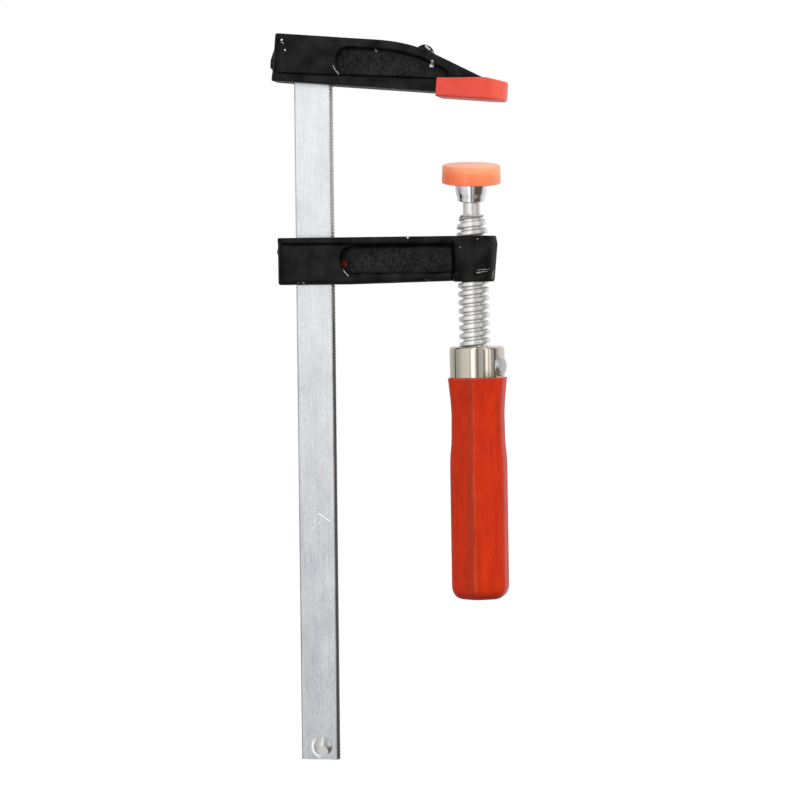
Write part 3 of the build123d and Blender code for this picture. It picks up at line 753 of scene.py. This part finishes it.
# Pressure plate. A turned steel disc with a cup below, bright plated. The cup is rolled in round the ball, so
# that the pad can tilt on it, and it alone shows under the soft cap.
PAD_TILT = math.radians(9.2)
PAD_TILT_TURN = math.radians(19.5)
PAD_PLACE = SCREW_PLACE @ Matrix.Rotation(PAD_TILT_TURN, 4, "Z") @ Matrix.Rotation(PAD_TILT, 4, "X")
# Outline as (radius, height over the ball's centre, easing) in millimetres: the socket, the mouth rolled in
# under the ball, the cup's outside and the disc.
PLATE_CORNERS = [
    (0.0, 4.5, 0), (3.2, 3.16, 0), (4.5, 0.0, 0), (4.03, -2.0, 0), (4.1, -3.75, 0.1), (4.35, -3.9, 0.1),
    (4.8, -3.6, 0.3), (5.0, -2.3, 0.8), (5.45, -0.8, 1.5), (5.7, 1.2, 2.0), (5.7, 4.45, 0.3),
    (9.0, 4.45, 0.2), (9.0, 7.1, 0.3), (0.0, 7.1, 0),
]
CUP_CHROME = (0.84, 0.84, 0.85, 1.0)


def lathed(corners, name):
    """Turned piece from (radius, height, easing) corners in millimetres."""
    outline = eased([(radius * MM, height * MM, easing * MM) for radius, height, easing in corners])
    return smooth(turned(outline), name)


def cup_chrome():
    """Bright plate with fine turning rings and a trace of smear."""
    material = finish("cup_chrome", {"Metallic": 1.0, "Base Color": CUP_CHROME})
    rings = speckle(spot(material, stretch=(0.05, 0.05, 1.0)), 3000.0)
    smear = speckle(spot(material), 350.0)
    plug(material, "Roughness", rings * 0.08 + smear * 0.12 + 0.04)
    relief(material, rings, depth=0.01 * MM, strength=0.3)
    return material


plate_mesh = lathed(PLATE_CORNERS, "pressure_plate")
fit("pressure_plate", plate_mesh, cup_chrome(), "pad", "swivel_plate", PAD_PLACE)

# Pad cap. A soft orange plastic cap, a little see-through, snapped over the plate. Its rim is rounded and its
# face is very slightly dished.
PAD_ORANGE = (0.97, 0.17, 0.056, 1.0)
PAD_ORANGE_PALE_AND_LIT = (0.97, 0.39, 0.19, 1.0)
PAD_PALE_WIDTH = 26.0 * MM
PAD_SEAM = 0.35 * MM
PAD_SEAM_PLACE = 4.5 * MM
PAD_LIFT = 10.0 * MM
# Outline as for the plate: the inside, the lip turned in under the plate's edge, the wall and the face.
PAD_CORNERS = [
    (0.0, 7.15, 0), (9.05, 7.15, 0), (9.05, 4.4, 0), (7.0, 4.4, 0.1), (7.0, 2.7, 0.15), (10.5, 2.7, 0.35),
    (10.3, 9.15, 0.75), (0.0, 9.1, 0),
]


def pad_plastic():
    """Glossy soft plastic with faint swirls and a mould seam, with painted light paling it near its face and
    away from the bar.
    """
    numbers = {"Subsurface Weight": 0.3, "Subsurface Scale": 2.0 * MM, "Specular IOR Level": 0.6}
    material = finish("pad_plastic", numbers)
    across = axis_of(spot(material), "X")
    height = axis_of(spot(material), "Z") / PAD_LIFT
    lift = height.ramp((0.3, 0.1), (0.53, 0.2), (0.68, 0.4), (0.78, 0.75))
    swirl = speckle(spot(material), 220.0)
    grain = speckle(spot(material), 2200.0)
    seam = abs(across + PAD_SEAM_PLACE) < PAD_SEAM
    # Painted light: paler towards the face and towards the side away from the bar; the swirls and seam are
    # its own tone.
    pale_and_lit = across / PAD_PALE_WIDTH + swirl * 0.3 + lift + seam * 0.14
    plug(material, "Base Color", pale_and_lit.ramp((0.0, 0.0), (1.0, 1.0)).mix(PAD_ORANGE, PAD_ORANGE_PALE_AND_LIT))
    plug(material, "Roughness", swirl * 0.03 + 0.275)
    relief(material, grain, depth=0.015 * MM, strength=0.5)
    return material


fit("pad_cap", lathed(PAD_CORNERS, "pad_cap"), pad_plastic(), "pad", "swivel_cap", PAD_PLACE)

# Ferrule. A drawn steel cap, bright nickel plated, pressed over the handle's tenon so that the wood can't
# split. Its shoulder is round and the rivet's heads have pulled it flat on two sides.
FERRULE_TOP = -55.3 * MM
FERRULE_FOOT = -66.5 * MM
FERRULE_RADIUS = 9.8 * MM
FERRULE_WALL = 0.9 * MM
FERRULE_SHOULDER = 1.2 * MM
FERRULE_HOLE = 5.7 * MM
FERRULE_COLLAR = 0.4 * MM
RIVET_HEIGHT = -62.4 * MM
RIVET_TURN = math.radians(-25.0)
RIVET_SEAT = 9.55 * MM
RIVET_PULL = 4.6 * MM
NICKEL = (0.66, 0.60, 0.505, 1.0)
# The handle stands a little askew of the screw, with its ferrule and rivet, about a point low in the grip.
HANDLE_SKEW = math.radians(0.56)
HANDLE_SKEW_HEIGHT = -128.0 * MM
HANDLE_PLACE = (
    SCREW_PLACE
    @ Matrix.Translation((0.0, 0.0, HANDLE_SKEW_HEIGHT))
    @ Matrix.Rotation(HANDLE_SKEW, 4, "Y")
    @ Matrix.Translation((0.0, 0.0, -HANDLE_SKEW_HEIGHT))
)


def ferrule_mesh():
    """Hollow cap with a hole that stays round the screw, pulled flat under the rivet's heads."""
    inner = FERRULE_RADIUS - FERRULE_WALL
    ceiling = FERRULE_TOP - FERRULE_WALL
    outline = eased(
        [
            (FERRULE_HOLE, ceiling, 0), (inner, ceiling, 0.9 * MM), (inner, FERRULE_FOOT, 0.2 * MM),
            (FERRULE_RADIUS, FERRULE_FOOT, 0.25 * MM), (FERRULE_RADIUS, FERRULE_TOP, FERRULE_SHOULDER),
            (FERRULE_HOLE, FERRULE_TOP, 0.3 * MM), (FERRULE_HOLE, ceiling, 0),
        ]
    )
    shape = turned(outline)
    bmesh.ops.remove_doubles(shape, verts=shape.verts, dist=SAME_POINT)
    direction = Vector((math.cos(RIVET_TURN), math.sin(RIVET_TURN), 0.0))
    aside = (FERRULE_TOP - HANDLE_SKEW_HEIGHT) * math.sin(HANDLE_SKEW)
    for vertex in shape.verts:
        if vertex.co.xy.length < FERRULE_HOLE + FERRULE_COLLAR:
            vertex.co.x -= aside
        outward = vertex.co.dot(direction)
        beside = math.sqrt(max(0.0, vertex.co.xy.length_squared - outward**2))
        excess = abs(outward) - RIVET_SEAT
        if excess > 0 and math.hypot(beside, vertex.co.z - RIVET_HEIGHT) < RIVET_PULL:
            vertex.co -= direction * math.copysign(excess, outward)
    return smooth(shape, "ferrule")


def ferrule_nickel():
    """Bright nickel, warm, with fine draw lines round it and a few smears."""
    material = finish("ferrule_nickel", {"Metallic": 1.0, "Base Color": NICKEL})
    rings = speckle(spot(material, stretch=(0.08, 0.08, 1.0)), 2500.0)
    smear = speckle(spot(material, stretch=(1.0, 1.0, 0.4)), 260.0)
    plug(material, "Roughness", rings * 0.02 + smear * 0.05 + 0.01)
    relief(material, smear, depth=0.05 * MM, strength=0.25)
    return material


fit("ferrule", ferrule_mesh(), ferrule_nickel(), "screw", "ferrule", HANDLE_PLACE)

# Handle. Turned beech with six flats and a waist for the thumb, dipped in red lacquer that lets the darker
# grain show in long streaks.
HANDLE_SIDES = 6
HANDLE_FLAT = 10.14 * MM
HANDLE_CORNER = 5.0 * MM
HANDLE_RIDGE = math.radians(-94.0)
HANDLE_FOOT = -145.4 * MM
HANDLE_END = 4.8 * MM
HANDLE_END_REACH = 3.5 * MM
HANDLE_END_STEPS = 12
HANDLE_SPACING = 1.5 * MM
# Millimetres below the ferrule, and the section's size there as a share of HANDLE_FLAT.
HANDLE_STATIONS = [
    (0.0, 0.995), (2.1, 0.971), (4.2, 0.954), (7.4, 0.920), (10.7, 0.900), (13.5, 0.8915), (19.2, 0.898),
    (22.1, 0.903), (24.9, 0.922), (27.8, 0.951), (30.7, 0.961), (33.6, 0.963), (78.9, 0.963),
]
HANDLE_STEPS = 240
LACQUER_RED = (0.60, 0.034, 0.006, 1.0)
LACQUER_DARK_GRAIN_AND_SHADE = (0.34, 0.016, 0.006, 1.0)
LACQUER_GRIME_AND_SHADE = (0.31, 0.036, 0.019, 1.0)
LACQUER_WORN_AND_LIT = (0.62, 0.12, 0.07, 1.0)
RIDGE_LINE = 0.35 * MM
RIDGE_WANDER = 1.2 * MM
LACQUER_FOOT = 10.0 * MM


def flat_swell(turn):
    """Radius of the rounded six-sided section at an angle, as a share of its flat."""
    sector = 2 * math.pi / HANDLE_SIDES
    from_ridge = (turn - HANDLE_RIDGE + sector / 2) % sector - sector / 2
    from_flat = sector / 2 - abs(from_ridge)
    reach = (HANDLE_FLAT - HANDLE_CORNER) / math.cos(sector / 2)
    if math.tan(from_flat) < (HANDLE_FLAT - HANDLE_CORNER) * math.tan(sector / 2) / HANDLE_FLAT:
        return 1 / math.cos(from_flat)
    slip = reach * math.sin(from_ridge)
    return (reach * math.cos(from_ridge) + math.sqrt(HANDLE_CORNER**2 - slip**2)) / HANDLE_FLAT


def handle_scale(depth):
    """Size of the section at a depth below the ferrule."""
    for (start, low), (end, high) in zip(HANDLE_STATIONS, HANDLE_STATIONS[1:]):
        if depth <= end:
            return low + (high - low) * (depth - start) / (end - start)
    return HANDLE_STATIONS[-1][1]


def handle_mesh():
    """Grip from the ferrule down to the rounded end."""
    length = FERRULE_FOOT - HANDLE_FOOT
    outline = [(0.0, FERRULE_FOOT)]
    depth = 0.0
    while depth < length - HANDLE_END:
        outline.append((HANDLE_FLAT * handle_scale(depth / MM), FERRULE_FOOT - depth))
        depth += HANDLE_SPACING
    end = HANDLE_FLAT * handle_scale(length / MM)
    for step in range(HANDLE_END_STEPS + 1):
        turn = math.radians(90 * step / HANDLE_END_STEPS)
        radius = end - HANDLE_END_REACH + HANDLE_END_REACH * math.cos(turn)
        outline.append((radius, HANDLE_FOOT + HANDLE_END - HANDLE_END * math.sin(turn)))
    outline.append((0.0, HANDLE_FOOT))
    return smooth(turned(outline, flat_swell, HANDLE_STEPS), "handle", sharp=60.0)


def lacquer():
    """Red lacquer over straight-grained wood, worn pale on the top edge, with wear and a painted highlight on
    two ridges, grime and painted shade beside them, and painted shade at the foot.
    """
    material = finish("lacquer", {"Specular IOR Level": 0.07, "Sheen Weight": 0.32, "Sheen Roughness": 0.33})
    here = spot(material)
    streak = speckle(spot(material, stretch=(1.0, 1.0, 0.03)), 900.0, detail=5.0)
    pore = speckle(spot(material, stretch=(1.0, 1.0, 0.1)), 3200.0)
    cloud = speckle(spot(material, stretch=(1.0, 1.0, 0.4)), 260.0, detail=5.0)
    turn = here.math("ARCTAN2", axis_of(here, "Y"), axis_of(here, "X")) + (2.5 * math.pi - HANDLE_RIDGE)
    from_ridge = turn.math("MODULO", turn, math.pi) - math.pi / 2
    # On the front and back ridges: a pale line of wear and painted highlight, with grime and painted shade
    # along one side.
    across = from_ridge * HANDLE_FLAT + (streak - 0.5) * RIDGE_WANDER
    crest = abs(across - RIDGE_LINE) / (1.5 * RIDGE_LINE)
    worn_and_glint = crest.ramp((0.3, 0.34), (1.0, 0.0)) * pore.ramp((0.45, 0.15), (0.6, 1.0))
    beside = abs(across + 3 * RIDGE_LINE + (cloud - 0.5) * MM) / (4 * RIDGE_LINE)
    grime_and_shade = beside.ramp((0.2, 1.0), (1.0, 0.0))
    rim = ((FERRULE_FOOT - axis_of(here, "Z")) / MM + pore * 0.4).ramp((0.35, 0.5), (0.6, 0.0))
    grain = (streak * 0.35 + pore * 0.3 + cloud * 0.35).ramp((0.36, 0.8), (0.5, 0.28), (0.62, 0.0))
    # Painted shade: darker towards the rounded end.
    foot = ((axis_of(here, "Z") - HANDLE_FOOT) / LACQUER_FOOT).ramp((0.1, 1.0), (0.42, 0.0))
    red = any_of([grain, foot]).mix(LACQUER_RED, LACQUER_DARK_GRAIN_AND_SHADE)
    dull = (grime_and_shade * cloud.ramp((0.35, 0.4), (0.6, 1.0))).mix(red, LACQUER_GRIME_AND_SHADE)
    plug(material, "Base Color", any_of([worn_and_glint, rim]).mix(dull, LACQUER_WORN_AND_LIT))
    plug(material, "Roughness", pore * 0.14 + streak * 0.1 + 0.45)
    relief(material, pore * 0.5 + streak * 0.5, depth=0.06 * MM, strength=0.5)
    return material


fit("handle", handle_mesh(), lacquer(), "screw", "handle", HANDLE_PLACE)

# Handle rivet. A soft steel rivet through ferrule, wood and tang, plated dull. Its near head is hammered flat
# with a bevel round it, and its far head is lower.
RIVET_ZINC = (0.60, 0.62, 0.61, 1.0)
# Heads as (radius, height over the seat, easing) in millimetres, from the crown in to the shank.
RIVET_NEAR_HEAD = [(0.0, 1.35, 0), (2.6, 1.15, 0.3), (3.7, 0.35, 0.15), (3.7, 0.0, 0), (2.0, 0.0, 0)]
RIVET_FAR_HEAD = [(0.0, 0.45, 0), (2.4, 0.4, 0.3), (3.0, 0.0, 0), (2.0, 0.0, 0)]


def rivet_mesh():
    """Shank with both heads about the screw's axis, the near head above."""
    seat = RIVET_SEAT / MM
    far = [(radius, -seat - height, easing) for radius, height, easing in RIVET_FAR_HEAD]
    close = [(radius, seat + height, easing) for radius, height, easing in reversed(RIVET_NEAR_HEAD)]
    return lathed(far + close, "handle_rivet")


def rivet_zinc():
    """Dull zinc with hammer facets."""
    material = finish("rivet_zinc", {"Metallic": 1.0, "Base Color": RIVET_ZINC})
    blows = {"Vector": spot(material), "Scale": 900.0}
    facet = Shade(material.node_tree).node("ShaderNodeTexVoronoi", {"feature": "SMOOTH_F1"}, blows)
    scuff = speckle(spot(material), 1400.0)
    plug(material, "Roughness", scuff * 0.2 + 0.24)
    relief(material, facet, depth=0.1 * MM, strength=0.4)
    return material


rivet_place = (
    HANDLE_PLACE
    @ Matrix.Translation((0.0, 0.0, RIVET_HEIGHT))
    @ Matrix.Rotation(RIVET_TURN, 4, "Z")
    @ Matrix.Rotation(math.radians(90), 4, "Y")
)
fit("handle_rivet", rivet_mesh(), rivet_zinc(), "screw", "handle_rivet", rivet_place)
